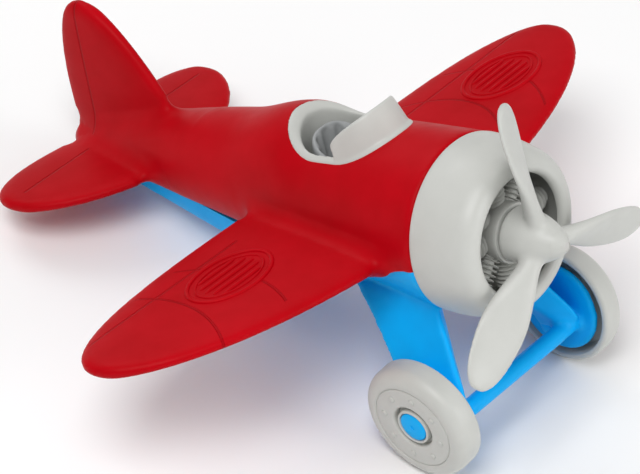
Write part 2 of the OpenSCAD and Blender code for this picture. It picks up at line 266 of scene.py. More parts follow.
# Engraved panel lines of the wings, tailplane and rudder, on the level airplane in millimetres.
panels = {"width": 0.32, "soft": 0.3,
          "hingeAt": 73.5, "hingeFrom": 45, "hingeTo": 122,
          "right": ((62, 0.0109, 52), (87, 0.0115, 62)), "left": ((69.3, -0.02, 56), (93.5, -0.017, 56)),
          "chordFrom": 28, "chordTo": 81, "rudder": 188, "rudderLean": 0.055, "rudderHalf": 8,
          "elevator": 184, "elevatorFrom": 14, "elevatorTo": 50, "lowest": -6}
hatches = {"places": ((-65.5, 58), (90, 57)), "long": 18.4, "wide": 12.4, "band": 1.7, "raise": 0.7,
           "louvres": 5, "pitch": 3.3, "inner": 3.1, "innerBand": 0.9, "innerRaise": 0.45}
lineGroup, lin, lout = newGroup("panelLines", [], [("Lines", "NodeSocketFloat")])
level = lineGroup.nodes.new("ShaderNodeMapping")
level.vector_type = "POINT"
level.inputs["Scale"].default_value = (1000, 1000, 1000)
level.inputs["Rotation"].default_value = (radians(stance["noseUp"]), 0, 0)
level.inputs["Location"].default_value = standUp.inverted().translation
lineGroup.links.new(lineGroup.nodes.new("ShaderNodeTexCoord").outputs["Object"], level.inputs["Vector"])
split = lineGroup.nodes.new("ShaderNodeSeparateXYZ")
lineGroup.links.new(level.outputs[0], split.inputs[0])
across, along, up = split.outputs
farOut = calc(lineGroup, "ABSOLUTE", across)


def between(tree, value, low, high):          # 1 where value lies between low and high
    above = calc(tree, "GREATER_THAN", value, low)
    return calc(tree, "MULTIPLY", above, calc(tree, "LESS_THAN", value, high))


def engraved(offset):                         # a panel line where offset is near 0
    return band(lineGroup, offset, panels["width"], panels["soft"])


def keep(line, where):                        # the part of a line that lies inside
    return calc(lineGroup, "MULTIPLY", line, where)


hinge = engraved(calc(lineGroup, "SUBTRACT", along, panels["hingeAt"]))
lineParts = [keep(hinge, between(lineGroup, farOut, panels["hingeFrom"], panels["hingeTo"]))]
for side, curves in ((-1, panels["right"]), (1, panels["left"])):
    for start, bend, middle in curves:
        off = calc(lineGroup, "SUBTRACT", along, middle)
        bow = calc(lineGroup, "MULTIPLY", calc(lineGroup, "MULTIPLY", off, off), bend)
        path = calc(lineGroup, "ADD", bow, start)
        near = engraved(calc(lineGroup, "SUBTRACT", calc(lineGroup, "MULTIPLY", across, side), path))
        lineParts.append(keep(near, between(lineGroup, along, panels["chordFrom"], panels["chordTo"])))
lean = calc(lineGroup, "ADD", along, calc(lineGroup, "MULTIPLY", up, panels["rudderLean"]))
rudder = engraved(calc(lineGroup, "SUBTRACT", lean, panels["rudder"]))
rudder = keep(rudder, calc(lineGroup, "GREATER_THAN", up, -1))
lineParts.append(keep(rudder, calc(lineGroup, "LESS_THAN", farOut, panels["rudderHalf"])))
elevator = engraved(calc(lineGroup, "SUBTRACT", along, panels["elevator"]))
lineParts.append(keep(elevator, between(lineGroup, farOut, panels["elevatorFrom"], panels["elevatorTo"])))
total = lineParts[0]
for part in lineParts[1:]:
    total = calc(lineGroup, "MAXIMUM", total, part)
for cx, cy in hatches["places"]:              # no line crosses a hatch
    p = calc(lineGroup, "DIVIDE", calc(lineGroup, "SUBTRACT", across, cx), hatches["long"] + 1)
    q = calc(lineGroup, "DIVIDE", calc(lineGroup, "SUBTRACT", along, cy), hatches["wide"] + 1)
    reach = calc(lineGroup, "ADD", calc(lineGroup, "MULTIPLY", p, p), calc(lineGroup, "MULTIPLY", q, q))
    total = keep(total, calc(lineGroup, "GREATER_THAN", reach, 1))
lineGroup.links.new(keep(total, calc(lineGroup, "GREATER_THAN", up, panels["lowest"])), lout.inputs[0])


def moulded(name, base, deep, roughness, grainScale=2400, strength=0.12, lines=False, gloss=0.4):
    material = bpy.data.materials.new(name)
    material.use_nodes = True
    tree = material.node_tree
    shader = tree.nodes["Principled BSDF"]
    skin = tree.nodes.new("ShaderNodeGroup")
    skin.node_tree = grainGroup
    skin.inputs["Base"].default_value = (*base, 1)
    skin.inputs["Deep"].default_value = (*deep, 1)
    skin.inputs["Roughness"].default_value = roughness
    skin.inputs["Grain"].default_value = grainScale
    skin.inputs["Strength"].default_value = strength
    if lines:
        grooves = tree.nodes.new("ShaderNodeGroup")
        grooves.node_tree = lineGroup
        tree.links.new(grooves.outputs[0], skin.inputs["Relief"])
    tree.links.new(skin.outputs["Color"], shader.inputs["Base Color"])
    tree.links.new(skin.outputs["Roughness"], shader.inputs["Roughness"])
    tree.links.new(skin.outputs["Normal"], shader.inputs["Normal"])
    shader.inputs["Specular IOR Level"].default_value = gloss
    material.diffuse_color = (*base, 1)
    return material


redPlastic = moulded("redPlastic", (0.475, 0.0006, 0.006), (0.41, 0.0004, 0.004), 0.44,
                     lines=True, gloss=0.06)
bluePlastic = moulded("bluePlastic", (0.0006, 0.44, 0.95), (0.0006, 0.39, 0.89), 0.4, gloss=0.12)
greyPlastic = moulded("greyPlastic", (0.545, 0.55, 0.522), (0.505, 0.51, 0.482), 0.4)
# darker copy of the grey plastic: painted shade for the seat down in the cockpit
shadedSeatGrey = moulded("shadedSeatGrey", (0.36, 0.37, 0.375), (0.31, 0.32, 0.325), 0.45)
steelPin = moulded("steelPin", (0.62, 0.61, 0.59), (0.55, 0.54, 0.52), 0.3, 5200, 0.2)
steelPin.node_tree.nodes["Principled BSDF"].inputs["Metallic"].default_value = 1
print("materials done")


# Red shell: fuselage, wings, tailplane and fin in one skin, with the seat for the blue belly cut away.
body = {"noseRadius": 32.6, "slim": 0.066, "slimMore": 0.00031, "length": 200, "tailEnd": 6.5,
        "droop": 8, "droopFrom": 90, "droopOver": 110,
        "hump": 5.4, "humpAt": 73.5, "humpAhead": 5, "humpBehind": 2.6, "voxel": 1.15}
wing = {"reach": 132.4, "mid": 48.2, "sweep": 9.1, "bend": 5.4, "half": 38.4, "taper": -0.14, "tip": 3,
        "thick": 7.8, "level": -4.2, "rise": 2.7}
tailplane = {"reach": 57.7, "mid": 169.3, "sweep": 14.1, "bend": 2, "half": 27.4, "taper": 0.06, "tip": 2.39,
             "thick": 6.8, "level": -6.3, "rise": 0.6}
fin = {"reach": 62.3, "mid": 168.4, "sweep": 13.3, "bend": 2.7, "half": 33.5, "taper": -0.31, "tip": 2.54,
       "thick": 8.4, "level": 0, "rise": 0, "sink": 6.9}
leafShape = {"power": 2.7, "thin": 0.22}
fairing = {"out": 30.4, "mid": 49, "half": 35.5, "wide": 6.5, "deep": 5.2, "level": -5.6}
seam = [(-1, -3.2), (5, -4.1), (10, -5.7), (14, -7.6), (17, -9.15), (91, -9.15), (100, -17.5), (109, -18),
        (152, -12.6), (176, -11), (230, -10.8)]
seamHalf = 31.7                               # half width of the belly's seat


def bodyRadius(y):                            # y runs aft from the back of the cowl
    return body["noseRadius"] - body["slim"] * y - body["slimMore"] * y * y


def bodyHeight(y):
    return -body["droop"] * (max(0, y - body["droopFrom"]) / body["droopOver"]) ** 1.5


def hump(y):                                  # rise behind the cockpit
    steep = body["humpAhead"] if y < body["humpAt"] else body["humpBehind"]     # degrees for each mm
    angle = min(90, abs(y - body["humpAt"]) * steep)
    return body["hump"] * cos(radians(angle)) ** 2


def skinHeight(x, y):                         # top of the fuselage
    return bodyHeight(y) + sqrt(max(1, bodyRadius(y) ** 2 - x * x)) * (1 + hump(y) / bodyRadius(y))


def leafMid(k, s):                            # s runs from 0 at the middle to 1 at the tip
    return k["mid"] + k["sweep"] * s + k["bend"] * s * s


def leafHalf(k, s):
    return k["half"] * (1 + k["taper"] * s) * sqrt(max(0, 1 - s ** k["tip"]))


def leafThick(k, s):                          # half thickness
    return k["thick"] * (1 - leafShape["thin"] * s * s) / 2 * min(1, leafHalf(k, s) / 12 + 0.2)


def leafTop(k, x, y):                         # height of the upper face
    s = abs(x) / k["reach"]
    off = min(0.98, abs(y - leafMid(k, s)) / leafHalf(k, s))
    crown = (1 - off ** leafShape["power"]) ** (1 / leafShape["power"])
    return k["level"] + k["rise"] * s * s + leafThick(k, s) * crown


def leaf(bm, k, side=1, inset=0.0, steps=26, open=False, start=0.0, end=1.0, stand=False):
    rings = []
    for i in range(steps + 1):
        s = start + (end - start) * sin(pi / 2 * i / steps)
        c, t = max(0.8, leafHalf(k, s) - inset), max(0.4, leafThick(k, s) - inset)
        if open:
            section = [(-c, -30), (c, -30), (c, t - 2), (c - 2.5, t), (2.5 - c, t), (-c, t - 2)]
        else:
            section = oval(c, t, leafShape["power"], 64)
        x, mid, z = k["reach"] * s, leafMid(k, s), k["level"] + k["rise"] * s * s
        if stand:
            rings.append([(q, mid + p, x - k["sink"]) for p, q in section])
        else:
            rings.append([(side * x, mid + p, z + q) for p, q in section])
    loft(bm, rings)


cockpit = {"half": 18, "middle": 44, "ahead": 19.5, "behind": 31.5, "floor": 4}


def rimPlan(a, inset, backInset=None):        # round in front, square-shouldered behind
    wide = cockpit["half"] - inset
    if cos(a) > 0:
        return wide * sin(a), cockpit["middle"] - (cockpit["ahead"] - inset) * cos(a)
    reach = cockpit["behind"] - (inset if backInset is None else backInset)
    return wide * swell(sin(a), 4 / 3), cockpit["middle"] + reach * max(0, -cos(a)) ** (4 / 9)


def evenAngles(count):                        # directions that step evenly along the edge of the opening
    back = [acos(-sin(pi / 2 * i / 600) ** 2.25) for i in range(601)]
    fine = [-pi / 2 + pi * i / 600 for i in range(600)] + back + [2 * pi - a for a in back[-2::-1]]
    spots = [rimPlan(a, 0) for a in fine]
    run = [0.0]
    for (ax, ay), (bx, by) in zip(spots, spots[1:]):
        run.append(run[-1] + hypot(bx - ax, by - ay))
    found, k = [], 0
    for i in range(count):
        goal = run[-1] * i / count
        while run[k + 1] < goal:
            k += 1
        found.append(fine[k] + (fine[k + 1] - fine[k]) * (goal - run[k]) / (run[k + 1] - run[k]))
    return found


def cockpitOutline(inset, z, count=90):
    return [(*rimPlan(a, inset), z) for a in evenAngles(count)]


bm = bmesh.new()
sections = []
for i in range(61):
    y = 0.05 + (body["length"] - 0.05) * i / 60
    r, z, lift = bodyRadius(y), bodyHeight(y), 1 + hump(y) / bodyRadius(y)
    sections.append([(p, y, z + (q * lift if q > 0 else q)) for p, q in oval(r, r, 2, 96)])
loft(bm, sections)
for side in (-1, 1):
    leaf(bm, wing, side)
    leaf(bm, tailplane, side)
    rings = []
    for i in range(31):                       # fillet strip under the wing root
        u = -cos(pi * i / 30)
        size = max(0.05, sqrt(1 - abs(u) ** 12))
        y = fairing["mid"] + fairing["half"] * u
        rings.append([(side * (fairing["out"] + p * size), y, fairing["level"] + q * size)
                      for p, q in oval(fairing["wide"], fairing["deep"], 2, 24)])
    loft(bm, rings)
leaf(bm, fin, stand=True)
ball(bm, (0, body["length"] - 1.6, -body["droop"]), (body["tailEnd"],) * 3)
shell = solid("fuselageShell", bm)
fuse(shell, body["voxel"])
print("shell fused", len(shell.data.polygons))


def offBody(co):                              # distance outside the fuselage
    y = min(body["length"], max(0, co.y))
    up = co.z - bodyHeight(y)
    return hypot(co.x, up / (1 + hump(y) / bodyRadius(y)) if up > 0 else up) - bodyRadius(y)


def nearRoot(reach):                          # test for the hollow corners at wings, tailplane and fin
    def test(co):
        if abs(offBody(co)) > reach or co.y < 3:
            return False
        if abs(co.z - wing["level"]) < 4 + reach and 5 < co.y < 95 and abs(co.x) > 20:
            return True
        if co.y > 138 and abs(co.z - tailplane["level"]) < 3 + reach and abs(co.x) > 7:
            return True
        return co.y > 126 and co.z > 0 and abs(co.x) < 4 + reach
    return test


soften(shell, 3)
soften(shell, 22, nearRoot(7))
soften(shell, 26, nearRoot(4))

bm = bmesh.new()                              # the seat of the blue belly
outline = seam + [(230, -60), (-1, -60)]
extruded(bm, [(-seamHalf, y, z) for y, z in outline], (2 * seamHalf, 0, 0))
carve(shell, solid("belowSeam", bm))
bm = bmesh.new()                              # full width ahead of the wings
outline = seam[:3] + [(11, -6.2), (11, -60), (-1, -60)]
extruded(bm, [(-40, y, z) for y, z in outline], (80, 0, 0))
carve(shell, solid("belowSeamFront", bm))
bm = bmesh.new()                              # hollow undersides of the wings
for side in (-1, 1):
    leaf(bm, wing, side, 2.6, 18, True, 0.29, 0.97)
carve(shell, solid("wingHollow", bm))
bm = bmesh.new()
extruded(bm, cockpitOutline(0.3, cockpit["floor"] - 3), (0, 0, 60))
carve(shell, solid("cockpitHole", bm))

wingRibs = {"places": (36, 60, 84, 106), "width": 1.6}
bm = bmesh.new()
for side in (-1, 1):
    for x in wingRibs["places"]:
        at, half = side * x, wingRibs["width"] / 2
        block(bm, (at - half, -5, -14), (at + half, 115, 2))
ribs = solid("wingRibs", bm)
bm = bmesh.new()
for side in (-1, 1):
    leaf(bm, wing, side, 0.9, 18, start=0.26)
carve(ribs, solid("ribTrim", bm), "INTERSECT")
carve(shell, ribs, "UNION")

# Raised oval hatches on the wings, with louvres.
bm = bmesh.new()
for cx, cy in hatches["places"]:
    for shrink, thick, high in ((0, hatches["band"], hatches["raise"]),
                                (hatches["inner"], hatches["innerBand"], hatches["innerRaise"])):
        rings = []
        for i in range(96):
            t = 2 * pi * i / 96
            section = []
            for u, w in oval(thick / 2, high, 2.4, 12):
                x = cx + (hatches["long"] - shrink + u) * cos(t)
                y = cy + (hatches["wide"] - shrink + u) * sin(t)
                section.append((x, y, leafTop(wing, x, y) + w))
            rings.append(section)
        loft(bm, rings, endless=True)
    for n in range(hatches["louvres"]):
        y0 = cy + (n - (hatches["louvres"] - 1) / 2) * hatches["pitch"]
        reach = (hatches["long"] - 5.4) * sqrt(1 - ((y0 - cy) / (hatches["wide"] - 2.4)) ** 2)
        rings = []
        for i in range(25):
            u = -cos(pi * i / 24)
            size = max(0.05, sqrt(max(0, 1 - abs(u) ** 6)))
            x = cx + reach * u
            rings.append([(x, y0 + p * size, leafTop(wing, x, y0 + p * size) + q * size)
                          for p, q in oval(0.85, 0.75, 2, 10)])
        loft(bm, rings)
marks = solid("hatches", bm)
carve(shell, marks, "UNION")
finishPiece(shell, redPlastic, "airframe", "red_plastic", "body_shell", sharp=42)


# Blue belly with legs, dust discs, spreader bar and heel.
belly = {"half": 17, "depth": 32.4, "corner": 5, "midAt": 106, "tailHalf": 8, "tailDepth": 16.6,
         "tailCorner": 3, "tailAt": 186, "voxel": 0.75}
axle = {"track": 48.4, "along": 0.4, "drop": 59.5, "camber": 4, "pin": 4}
# Each level of a leg: its height, then the five corners of its section.
legLevels = ((-66, (36.5, -7), (29, -4), (29, 3), (36.5, 7), (36.8, 0)),
             (-57, (33.2, -13.6), (26, -6), (26, 3), (36.6, 12), (36.8, 0)),
             (-45, (28.8, -7.8), (18.5, 2.4), (20, 11), (35, 19), (33.4, 7)),
             (-38.5, (26.3, -4.3), (14.4, 7), (16, 18), (32, 24.7), (29.8, 10)),
             (-31, (23.6, -0.4), (10.4, 12), (11, 29), (27, 34.5), (25.8, 17)),
             (-24, (21.2, 3), (9.5, 15), (9.5, 38), (20.6, 46), (21.4, 24)))
legs = {"disc": 17.7, "discOut": 9.2, "discIn": 11.9,
        "bar": 3.4, "barLong": 73.2, "barAlong": -8, "barDrop": 62,
        "heelHalf": 6, "heelFrom": 186, "heelTo": 200}


def bellySection(half, depth, corner, count=48):   # trapezoid with round lower corners
    points = []
    for i in range(count):
        t = 2 * pi * i / count
        if sin(t) > -0.02:
            points.append((half * cos(t), 3 * max(0, sin(t))))
            continue
        low, high = 0.0, depth + half
        for _ in range(24):                   # how far out this direction reaches
            r = (low + high) / 2
            x, z = abs(r * cos(t)), -r * sin(t)
            side = half * (1 - 0.2 * z / depth)
            inside = z < depth and x < side
            cx, cz = side - corner, depth - corner
            if inside and x > cx and z > cz:
                inside = hypot(x - cx, z - cz) < corner
            low, high = (r, high) if inside else (low, r)
        points.append((low * cos(t), low * sin(t)))
    return points


def atWheel(side=1):                          # +Z of a turned shape points out along the axle
    spot = Matrix.Translation((axle["track"], axle["along"], -axle["drop"]))
    lean = Matrix.Rotation(radians(90 + axle["camber"]), 4, "Y")
    return Matrix.Diagonal((side, 1, 1, 1)) @ spot @ lean


def through(u, a, b, c, d):                   # smooth curve from b to c, with its neighbours a and d
    return b + 0.5 * u * (c - a + u * (2 * a - 5 * b + 4 * c - d + u * (3 * (b - c) + d - a)))


def legSection(i, u):                         # height and rounded outline, u of the way up from level i
    last = len(legLevels) - 1
    near = [legLevels[max(0, i - 1)], legLevels[i], legLevels[i + 1], legLevels[min(last, i + 2)]]
    corners = [[through(u, *[level[n][k] for level in near]) for k in (0, 1)] for n in range(1, 6)]
    outline = []
    for (ax, ay), (bx, by) in zip(corners, corners[1:] + corners[:1]):
        outline += [(ax + (bx - ax) * k / 4, ay + (by - ay) * k / 4) for k in range(4)]
    for _ in range(2):                        # corners cut twice, so they come out round
        outline = [(a[0] * f + b[0] * (1 - f), a[1] * f + b[1] * (1 - f))
                   for a, b in zip(outline, outline[1:] + outline[:1]) for f in (0.75, 0.25)]
    return through(u, *[level[0] for level in near]), outline


bm = bmesh.new()
noseHalf = body["noseRadius"] - 0.05
round0 = [(p, q if q < 0 else q * 0.1) for p, q in oval(noseHalf, noseHalf, 2, 48)]
middle = bellySection(belly["half"], belly["depth"], belly["corner"])
end = bellySection(belly["tailHalf"], belly["tailDepth"], belly["tailCorner"])
rings = []
for i in range(31):
    u = i / 30
    rings.append([(a[0] + (b[0] - a[0]) * u, 0.05 + (belly["midAt"] - 0.05) * u, a[1] + (b[1] - a[1]) * u)
                  for a, b in zip(round0, middle)])
for i in range(1, 25):
    u = i / 24
    rings.append([(a[0] + (b[0] - a[0]) * u, belly["midAt"] + (belly["tailAt"] - belly["midAt"]) * u,
                   a[1] + (b[1] - a[1]) * u) for a, b in zip(middle, end)])
loft(bm, rings)
for side in (-1, 1):
    rings = []
    for i in range(len(legLevels) - 1):
        for step in range(5 if i < len(legLevels) - 2 else 6):
            z, outline = legSection(i, step / 5)
            rings.append([(side * px, py, z) for px, py in outline])
    loft(bm, rings)
    discProfile = [(0, -legs["discIn"]), (legs["disc"] - 0.5, -legs["discIn"]),
                   (legs["disc"], -legs["discIn"] + 0.5), (legs["disc"], -legs["discOut"] - 0.4),
                   (legs["disc"] - 0.4, -legs["discOut"]), (0, -legs["discOut"])]
    turned(bm, discProfile, 96, atWheel(side))
barPlace = Matrix.Translation((0, legs["barAlong"], -legs["barDrop"])) @ Matrix.Rotation(pi / 2, 4, "Y")
bmesh.ops.create_cone(bm, cap_ends=True, segments=48, radius1=legs["bar"], radius2=legs["bar"],
                      depth=legs["barLong"], matrix=barPlace)
heelSide = [(172, -9), (legs["heelTo"] - 1, -9), (legs["heelTo"], -27), (legs["heelFrom"], -27)]
extruded(bm, [(-legs["heelHalf"], y, z) for y, z in heelSide], (2 * legs["heelHalf"], 0, 0))


def offBar(co):                               # distance outside the spreader bar
    return hypot(co.y - legs["barAlong"], co.z + legs["barDrop"]) - legs["bar"]


chassis = solid("bellyChassis", bm)
fuse(chassis, belly["voxel"])
soften(chassis, 4)
soften(chassis, 7, lambda co: abs(co.x) > 8 and -58 < co.z < -18)
soften(chassis, 14, lambda co: 17 < abs(co.x) < 30 and -34 < co.z < -22)   # the legs flow into the belly
soften(chassis, 14, lambda co: abs(co.x) > 26 and -70 < co.z < -50 and abs(offBar(co)) < 1.6)
bm = bmesh.new()
extruded(bm, [(-45, y, z) for y, z in seam] + [(-45, 230, 90), (-45, -1, 90)], (90, 0, 0))
carve(chassis, solid("aboveSeam", bm))
bm = bmesh.new()                              # the ground under the heel
block(bm, (-50, 0, -stance["height"] - 60), (50, 300, -stance["height"]))
tilt = Matrix.Rotation(radians(stance["noseUp"]), 3, "X")
bmesh.ops.rotate(bm, cent=(0, 0, 0), matrix=tilt, verts=bm.verts)
carve(chassis, solid("ground", bm))
bm = bmesh.new()
for side in (-1, 1):
    turned(bm, [(0, -18), (axle["pin"], -18), (axle["pin"], 0), (0, 0)], 48, atWheel(side))
carve(chassis, solid("pinHoles", bm))
finishPiece(chassis, bluePlastic, "airframe", "blue_plastic", "belly_chassis", sharp=40)


# Cowl and engine, turned about the thrust line.
def aboutThrust(turn=0.0):                    # +Z of a turned shape points forward along the thrust line
    return Matrix.Rotation(pi / 2, 4, "X") @ Matrix.Rotation(turn, 4, "Z")


cowl = {"mouth": 22, "length": 25.2, "lip": 2.6}
bm = bmesh.new()
turns = [radians(a) for a in range(0, 91, 9)]
lip = [(cowl["mouth"] + cowl["lip"] * (1 - cos(a)), cowl["length"] - cowl["lip"] * (1 - sin(a)))
       for a in turns]
outer = [(26.2, 24.95), (27.6, 24.45), (28.8, 23.6), (29.7, 22.4), (30.5, 20.8), (31.1, 18.8), (31.6, 16.4),
         (32.1, 13.6), (32.55, 10.6), (32.8, 7.6), (32.85, 4.4), (32.8, 1.6), (32.65, 0.5), (32.3, 0.05)]
inner = [(30.6, 0.05), (30.6, 2.2), (30.2, 4), (30.1, 10), (29.6, 14), (28.4, 17.6), (26.4, 20.2),
         (24.3, 21.8), (22.6, 22.3), (cowl["mouth"], 22.45)]
turned(bm, lip + outer + inner, 128, aboutThrust())
piece = solid("cowlRing", bm)
finishPiece(piece, greyPlastic, "airframe", "grey_plastic", "engine_cowl", sharp=50)

case = {"seat": 12.5, "front": 21.4, "plate": 2.2, "bore": 1.66, "cylinders": 8, "cylinderAt": 13.2}


def atCylinder(i, out):                       # +Z of a turned shape points out along cylinder i
    spot = Matrix.Translation((out, 0, case["cylinderAt"]))
    return aboutThrust(radians(360 / case["cylinders"] * i)) @ spot @ Matrix.Rotation(pi / 2, 4, "Y")


bm = bmesh.new()
caseProfile = [(case["bore"], 0.02), (30.5, 0.02), (30.5, case["plate"]), (17, case["plate"]), (15, 2.8),
               (13.6, 4.6), (12, 7), (10.9, 8.6), (10.8, 13), (10.8, 18), (11, 19.4), (11.2, 20.7),
               (11, case["front"]), (case["bore"], case["front"])]
turned(bm, caseProfile, 96, aboutThrust())
for i in range(case["cylinders"]):
    turned(bm, [(2.7, 9), (3.9, 9), (3.9, 10.7), (3.6, 11.05), (2.7, 11.05)], 40, atCylinder(i, 0))
piece = solid("crankcase", bm)
finishPiece(piece, greyPlastic, "airframe", "grey_plastic", "engine_crankcase")

finned = {"fins": 7, "pitch": 1.75, "from": -1.35, "radius": 4.95, "core": 2.9, "spigot": 2.5,
          "share": 0.414, "gap": 0.08}
for i in range(case["cylinders"]):
    bm = bmesh.new()
    profile = [(0, -3.2), (finned["spigot"], -3.2), (finned["spigot"], -1.4), (finned["core"], -1.4)]
    for k in range(finned["fins"]):
        z = finned["from"] + finned["pitch"] * k
        room = (case["seat"] + z) * finned["share"] - finned["gap"]   # clear of the next cylinder
        r = min(finned["radius"], room) - (0.35 if k == finned["fins"] - 1 else 0)
        profile += [(finned["core"], z), (r - 0.3, z + 0.05), (r, z + 0.3), (r - 0.3, z + 0.6),
                    (finned["core"], z + 0.7)]
    profile += [(finned["core"], 11.4), (3.5, 12), (2.7, 12.5), (1.3, 12.75), (0, 12.8)]
    turned(bm, profile, 40, atCylinder(i, case["seat"]))
    piece = solid("finnedCylinder%d" % (i + 1), bm)
    finishPiece(piece, greyPlastic, "airframe", "grey_plastic", "engine_cylinder_%d" % (i + 1), sharp=50)


# Propeller, shaft and retainer.
propeller = {"tip": 58, "half": 9.3, "ahead": 32.93, "base": 21.95, "nose": 44.7, "root": 5,
             "turns": (97, 217, 337), "shaft": 1.62, "cap": 2, "voxel": 0.45}


def bladeSection(r):                          # outline of a blade at radius r, chord along X before the twist
    k = max(0, (r - propeller["root"]) / (propeller["tip"] - propeller["root"]))
    broad = 0.42 + 0.58 * sin(min(1, k / 0.62) * pi / 2) ** 2
    w = propeller["half"] * broad * sqrt(max(0.004, 1 - k ** 7))
    t = 1.2 + 2.6 * (1 - k) ** 1.6
    twist = radians(44 * k ** 0.7 - 62)
    return [(p * cos(twist) - q * sin(twist), r, p * sin(twist) + q * cos(twist))
            for p, q in oval(w, t, 2.3, 36)]


bm = bmesh.new()
dome = [(2 + 8.3 * cos(radians(a)) ** 1.55, propeller["base"] + 0.9 + 21.3 * sin(radians(a)))
        for a in range(0, 86, 5)]
spinner = [(0, propeller["base"]), (10.1, propeller["base"]), (10.3, propeller["base"] + 0.3), *dome,
           (2.2, 44.4), (1.9, propeller["nose"]), (0, propeller["nose"])]
turned(bm, spinner, 96, aboutThrust())
for turn in propeller["turns"]:
    hub = Matrix.Translation((0, 0, propeller["ahead"])) @ Matrix.Rotation(-pi / 2, 4, "Z")
    place = aboutThrust(radians(turn)) @ hub
    rings = []
    for i in range(33):
        r = 4 + (propeller["tip"] - 4.4) * sin(pi / 2 * i / 32)
        rings.append([place @ Vector(point) for point in bladeSection(r)])
    loft(bm, rings)
blades = solid("propellerBlades", bm)
fuse(blades, propeller["voxel"])
soften(blades, 6)


def onSpinner(co):                            # where the blades flow out of the spinner
    return hypot(co.x, co.z) < 15 and -41 < co.y < -propeller["base"] - 2.5


soften(blades, 30, onSpinner)
bm = bmesh.new()
turned(bm, [(0, 10), (propeller["shaft"], 10), (propeller["shaft"], 44), (propeller["cap"], 50), (0, 50)],
       40, aboutThrust())
carve(blades, solid("shaftHole", bm))
finishPiece(blades, greyPlastic, "propeller", "grey_plastic", "propeller", sharp=50)
for name in ("propeller_shaft", "shaft_retainer"):
    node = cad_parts[name]
    node.data.materials.clear()
    node.data.materials.append(steelPin)


# Cockpit: rim with windscreen and tub, and the bucket seat.
def rimAt(a, inset, backInset=None):
    x, y = rimPlan(a, inset, backInset)
    return Vector((x, y, skinHeight(x, y)))


screen = {"thick": 2.1, "side": 2.7, "front": 4, "back": 5.6, "step": 1.7,
          "proud": 0.5, "under": 1.2, "sunk": 2.4,
          "topHalf": 13.6, "topFrom": 48, "topReach": 15, "sideHeight": 26.5, "rise": 14, "voxel": 0.5}


def glassAt(a):                               # top edge of the windscreen
    return Vector((screen["topHalf"] * sin(a), screen["topFrom"] - screen["topReach"] * cos(a) ** 0.8,
                   screen["sideHeight"] + screen["rise"] * cos(a) ** 0.55))


def bandWidth(a):                             # wider in front of the windscreen
    return screen["side"] + (screen["front"] - screen["side"]) * max(0, cos(a))


bm = bmesh.new()
rings = []
for a in evenAngles(150):                     # flat band that lies on the fuselage round the opening
    section = []
    for p, q in oval(1, 1, 3.2, 16):
        at = rimAt(a, bandWidth(a) * (1 - p) / 2 + 0.1, screen["back"] * (1 - p) / 2 + 0.1)
        sunk = screen["sunk"] * max(0, -cos(a)) ** 1.5 * (0.5 - 0.5 * p)
        section.append(at + Vector((0, 0, (screen["proud"] if q > 0 else screen["under"]) * q - sunk)))
    rings.append(section)
loft(bm, rings, endless=True)
rings = []
for i in range(61):                           # windscreen wall, from the band up to its top edge
    a = radians(-89 + 178 * i / 60)
    stepIn = screen["step"] * (0.3 + 0.7 * max(0, cos(a)) ** 0.5)
    foot, top = rimAt(a, screen["thick"] / 2 + stepIn), glassAt(a)
    rise = top - foot
    tip = rise.normalized()
    outward = Vector((sin(a), -cos(a) * 0.8, 0.25)).normalized()
    side = (outward - tip * outward.dot(tip)).normalized() * screen["thick"] / 2
    rings.append([foot - rise * 0.02 + side, foot + rise * 0.35 + side * 1.05,
                  foot + rise * 0.7 + side * 1.05, top + side * 0.9,
                  top + side * 0.4 + tip * 0.3, top - side * 0.4 + tip * 0.3, top - side * 0.9,
                  foot + rise * 0.7 - side, foot + rise * 0.35 - side, foot - rise * 0.02 - side])
loft(bm, rings)
rings = []
for a in evenAngles(150):                     # tub wall below the band
    out, inn = rimAt(a, 0.9), rimAt(a, bandWidth(a) + 0.2, screen["back"] + 0.2)
    drop = 0.9 + screen["sunk"] * max(0, -cos(a)) ** 1.5
    rings.append([Vector((out.x, out.y, out.z - 0.9)), Vector((inn.x, inn.y, inn.z - drop)),
                  Vector((inn.x, inn.y, cockpit["floor"])), Vector((out.x, out.y, cockpit["floor"]))])
loft(bm, rings, endless=True)
rim = solid("cockpitFrame", bm)
fuse(rim, screen["voxel"])
soften(rim, 6)
finishPiece(rim, greyPlastic, "airframe", "grey_plastic", "cockpit_frame", sharp=60)

seat = {"centre": 53.6, "outside": 12.4, "wall": 2.8, "floor": 4, "top": 25.2, "arms": 13,
        "flutes": 11, "fluteDeep": 0.6, "ridges": (-6, -2, 2, 6), "voxel": 0.5}
bm = bmesh.new()
extruded(bm, cockpitOutline(1.1, seat["floor"] - 1.95), (0, 0, 1.95))
rings = []
for i in range(73):                           # wrap-round backrest, fluted inside
    a = radians(-118 + 236 * i / 72)
    top = seat["arms"] + (seat["top"] - seat["arms"]) * max(0, cos(a * 0.68)) ** 0.9
    flute = seat["fluteDeep"] * cos(seat["flutes"] * a)
    section = []
    for p, q in oval(seat["wall"] / 2, 1, 3, 16):
        r = seat["outside"] - seat["wall"] / 2 + p + (flute if p < 0 and abs(q) < 0.9 else 0)
        z = seat["floor"] - 0.3 + (top - seat["floor"] + 0.3) * (q + 1) / 2
        section.append((r * swell(sin(a), 0.8) * 0.95, seat["centre"] + r * swell(cos(a), 0.8), z))
    rings.append(section)
loft(bm, rings)
ball(bm, (0, seat["centre"], seat["floor"]), (10.4, 10.4, 3.4), 40, 16)
for x in seat["ridges"]:                      # cushion ridges
    ball(bm, (x, seat["centre"] - 1, seat["floor"] + 2.3), (1.5, 6.5, 1.6), 16, 12)
ball(bm, (0, 31.5, seat["floor"] + 7), (9, 3.6, 8), 32, 20)   # rounded panel in front of the seat
bucket = solid("bucketSeat", bm)
fuse(bucket, seat["voxel"])
soften(bucket, 2)
# the seat is grey plastic, drawn with the darker painted-shade copy
finishPiece(bucket, shadedSeatGrey, "airframe", "grey_plastic", "pilot_seat", sharp=60)


